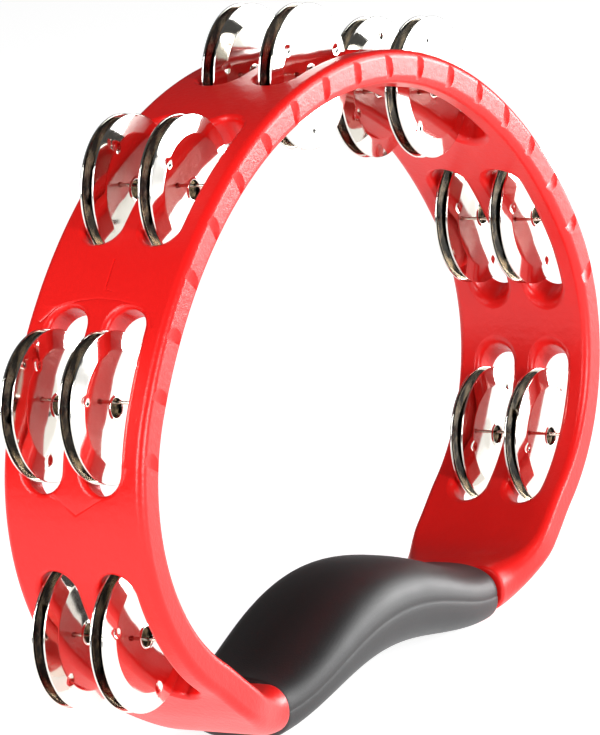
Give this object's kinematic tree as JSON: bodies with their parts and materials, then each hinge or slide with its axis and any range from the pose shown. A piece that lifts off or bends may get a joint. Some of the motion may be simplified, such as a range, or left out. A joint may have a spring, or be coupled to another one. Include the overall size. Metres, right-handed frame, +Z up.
{
  "type": "hand tambourine",
  "caption": "Open D-shaped hand tambourine: moulded ring with round-ended slots, facing pairs of dished steel jingles on pins, ridged front lip and curved rubber grip",
  "frame": {"origin": "on the ground, under the middle of the grip, half way between the two rows of jingles", "axes": "+X across the frame along its longest extent, +Y along its short axis towards the plain back rim (the ridged front lip faces -Y), +Z up from the grip to the top jingles"},
  "size_m": [0.2854, 0.047, 0.2058],
  "materials": {
    "red_plastic": "satin moulded plastic, bright red, with a fine grain",
    "black_rubber": "soft black rubber with a fine grain and a low sheen",
    "plated_steel": "bright nickel-plated pressed steel"
  },
  "bodies": {
    "body": {"frame": "red_plastic", "grip_sleeve": "black_rubber", "pin_left_lower": "plated_steel", "pin_left_middle": "plated_steel", "pin_left_upper": "plated_steel", "pin_top": "plated_steel", "pin_right_upper": "plated_steel", "pin_right_middle": "plated_steel", "pin_right_lower": "plated_steel"},
    "jingle_left_lower_front_row_back": {"jingle_left_lower_front_row_back": "plated_steel"},
    "jingle_left_lower_front_row_front": {"jingle_left_lower_front_row_front": "plated_steel"},
    "jingle_left_lower_back_row_back": {"jingle_left_lower_back_row_back": "plated_steel"},
    "jingle_left_lower_back_row_front": {"jingle_left_lower_back_row_front": "plated_steel"},
    "jingle_left_middle_front_row_back": {"jingle_left_middle_front_row_back": "plated_steel"},
    "jingle_left_middle_front_row_front": {"jingle_left_middle_front_row_front": "plated_steel"},
    "jingle_left_middle_back_row_back": {"jingle_left_middle_back_row_back": "plated_steel"},
    "jingle_left_middle_back_row_front": {"jingle_left_middle_back_row_front": "plated_steel"},
    "jingle_left_upper_front_row_back": {"jingle_left_upper_front_row_back": "plated_steel"},
    "jingle_left_upper_front_row_front": {"jingle_left_upper_front_row_front": "plated_steel"},
    "jingle_left_upper_back_row_back": {"jingle_left_upper_back_row_back": "plated_steel"},
    "jingle_left_upper_back_row_front": {"jingle_left_upper_back_row_front": "plated_steel"},
    "jingle_top_front_row_back": {"jingle_top_front_row_back": "plated_steel"},
    "jingle_top_front_row_front": {"jingle_top_front_row_front": "plated_steel"},
    "jingle_top_back_row_back": {"jingle_top_back_row_back": "plated_steel"},
    "jingle_top_back_row_front": {"jingle_top_back_row_front": "plated_steel"},
    "jingle_right_upper_front_row_back": {"jingle_right_upper_front_row_back": "plated_steel"},
    "jingle_right_upper_front_row_front": {"jingle_right_upper_front_row_front": "plated_steel"},
    "jingle_right_upper_back_row_back": {"jingle_right_upper_back_row_back": "plated_steel"},
    "jingle_right_upper_back_row_front": {"jingle_right_upper_back_row_front": "plated_steel"},
    "jingle_right_middle_front_row_back": {"jingle_right_middle_front_row_back": "plated_steel"},
    "jingle_right_middle_front_row_front": {"jingle_right_middle_front_row_front": "plated_steel"},
    "jingle_right_middle_back_row_back": {"jingle_right_middle_back_row_back": "plated_steel"},
    "jingle_right_middle_back_row_front": {"jingle_right_middle_back_row_front": "plated_steel"},
    "jingle_right_lower_front_row_back": {"jingle_right_lower_front_row_back": "plated_steel"},
    "jingle_right_lower_front_row_front": {"jingle_right_lower_front_row_front": "plated_steel"},
    "jingle_right_lower_back_row_back": {"jingle_right_lower_back_row_back": "plated_steel"},
    "jingle_right_lower_back_row_front": {"jingle_right_lower_back_row_front": "plated_steel"}
  },
  "joints": [
    {"name": "jingle_left_lower_front_row_back_slide", "type": "slide", "parent": "body", "child": "jingle_left_lower_front_row_back", "axis": [0, -1, 0], "range_m": [0, 0.0028]},
    {"name": "jingle_left_lower_front_row_front_slide", "type": "slide", "parent": "jingle_left_lower_front_row_back", "child": "jingle_left_lower_front_row_front", "axis": [0, -1, 0], "range_m": [-0.0027, 0.0024]},
    {"name": "jingle_left_lower_back_row_back_slide", "type": "slide", "parent": "body", "child": "jingle_left_lower_back_row_back", "axis": [0, -1, 0], "range_m": [0, 0.0028]},
    {"name": "jingle_left_lower_back_row_front_slide", "type": "slide", "parent": "jingle_left_lower_back_row_back", "child": "jingle_left_lower_back_row_front", "axis": [0, -1, 0], "range_m": [-0.0027, 0.0024]},
    {"name": "jingle_left_middle_front_row_back_slide", "type": "slide", "parent": "body", "child": "jingle_left_middle_front_row_back", "axis": [0, -1, 0], "range_m": [0, 0.0028]},
    {"name": "jingle_left_middle_front_row_front_slide", "type": "slide", "parent": "jingle_left_middle_front_row_back", "child": "jingle_left_middle_front_row_front", "axis": [0, -1, 0], "range_m": [-0.0027, 0.0024]},
    {"name": "jingle_left_middle_back_row_back_slide", "type": "slide", "parent": "body", "child": "jingle_left_middle_back_row_back", "axis": [0, -1, 0], "range_m": [0, 0.0028]},
    {"name": "jingle_left_middle_back_row_front_slide", "type": "slide", "parent": "jingle_left_middle_back_row_back", "child": "jingle_left_middle_back_row_front", "axis": [0, -1, 0], "range_m": [-0.0027, 0.0024]},
    {"name": "jingle_left_upper_front_row_back_slide", "type": "slide", "parent": "body", "child": "jingle_left_upper_front_row_back", "axis": [0, -1, 0], "range_m": [0, 0.0028]},
    {"name": "jingle_left_upper_front_row_front_slide", "type": "slide", "parent": "jingle_left_upper_front_row_back", "child": "jingle_left_upper_front_row_front", "axis": [0, -1, 0], "range_m": [-0.0027, 0.0024]},
    {"name": "jingle_left_upper_back_row_back_slide", "type": "slide", "parent": "body", "child": "jingle_left_upper_back_row_back", "axis": [0, -1, 0], "range_m": [0, 0.0028]},
    {"name": "jingle_left_upper_back_row_front_slide", "type": "slide", "parent": "jingle_left_upper_back_row_back", "child": "jingle_left_upper_back_row_front", "axis": [0, -1, 0], "range_m": [-0.0027, 0.0024]},
    {"name": "jingle_top_front_row_back_slide", "type": "slide", "parent": "body", "child": "jingle_top_front_row_back", "axis": [0, -1, 0], "range_m": [0, 0.0028]},
    {"name": "jingle_top_front_row_front_slide", "type": "slide", "parent": "jingle_top_front_row_back", "child": "jingle_top_front_row_front", "axis": [0, -1, 0], "range_m": [-0.0027, 0.0024]},
    {"name": "jingle_top_back_row_back_slide", "type": "slide", "parent": "body", "child": "jingle_top_back_row_back", "axis": [0, -1, 0], "range_m": [0, 0.0028]},
    {"name": "jingle_top_back_row_front_slide", "type": "slide", "parent": "jingle_top_back_row_back", "child": "jingle_top_back_row_front", "axis": [0, -1, 0], "range_m": [-0.0027, 0.0024]},
    {"name": "jingle_right_upper_front_row_back_slide", "type": "slide", "parent": "body", "child": "jingle_right_upper_front_row_back", "axis": [0, -1, 0], "range_m": [0, 0.0028]},
    {"name": "jingle_right_upper_front_row_front_slide", "type": "slide", "parent": "jingle_right_upper_front_row_back", "child": "jingle_right_upper_front_row_front", "axis": [0, -1, 0], "range_m": [-0.0027, 0.0024]},
    {"name": "jingle_right_upper_back_row_back_slide", "type": "slide", "parent": "body", "child": "jingle_right_upper_back_row_back", "axis": [0, -1, 0], "range_m": [0, 0.0028]},
    {"name": "jingle_right_upper_back_row_front_slide", "type": "slide", "parent": "jingle_right_upper_back_row_back", "child": "jingle_right_upper_back_row_front", "axis": [0, -1, 0], "range_m": [-0.0027, 0.0024]},
    {"name": "jingle_right_middle_front_row_back_slide", "type": "slide", "parent": "body", "child": "jingle_right_middle_front_row_back", "axis": [0, -1, 0], "range_m": [-0.0004, 0.0024]},
    {"name": "jingle_right_middle_front_row_front_slide", "type": "slide", "parent": "jingle_right_middle_front_row_back", "child": "jingle_right_middle_front_row_front", "axis": [0, -1, 0], "range_m": [-0.0027, 0.0024]},
    {"name": "jingle_right_middle_back_row_back_slide", "type": "slide", "parent": "body", "child": "jingle_right_middle_back_row_back", "axis": [0, -1, 0], "range_m": [-0.0004, 0.0024]},
    {"name": "jingle_right_middle_back_row_front_slide", "type": "slide", "parent": "jingle_right_middle_back_row_back", "child": "jingle_right_middle_back_row_front", "axis": [0, -1, 0], "range_m": [-0.0027, 0.0024]},
    {"name": "jingle_right_lower_front_row_back_slide", "type": "slide", "parent": "body", "child": "jingle_right_lower_front_row_back", "axis": [0, -1, 0], "range_m": [0, 0.0028]},
    {"name": "jingle_right_lower_front_row_front_slide", "type": "slide", "parent": "jingle_right_lower_front_row_back", "child": "jingle_right_lower_front_row_front", "axis": [0, -1, 0], "range_m": [-0.0027, 0.0024]},
    {"name": "jingle_right_lower_back_row_back_slide", "type": "slide", "parent": "body", "child": "jingle_right_lower_back_row_back", "axis": [0, -1, 0], "range_m": [0, 0.0028]},
    {"name": "jingle_right_lower_back_row_front_slide", "type": "slide", "parent": "jingle_right_lower_back_row_back", "child": "jingle_right_lower_back_row_front", "axis": [0, -1, 0], "range_m": [-0.0027, 0.0024]}
  ]
}
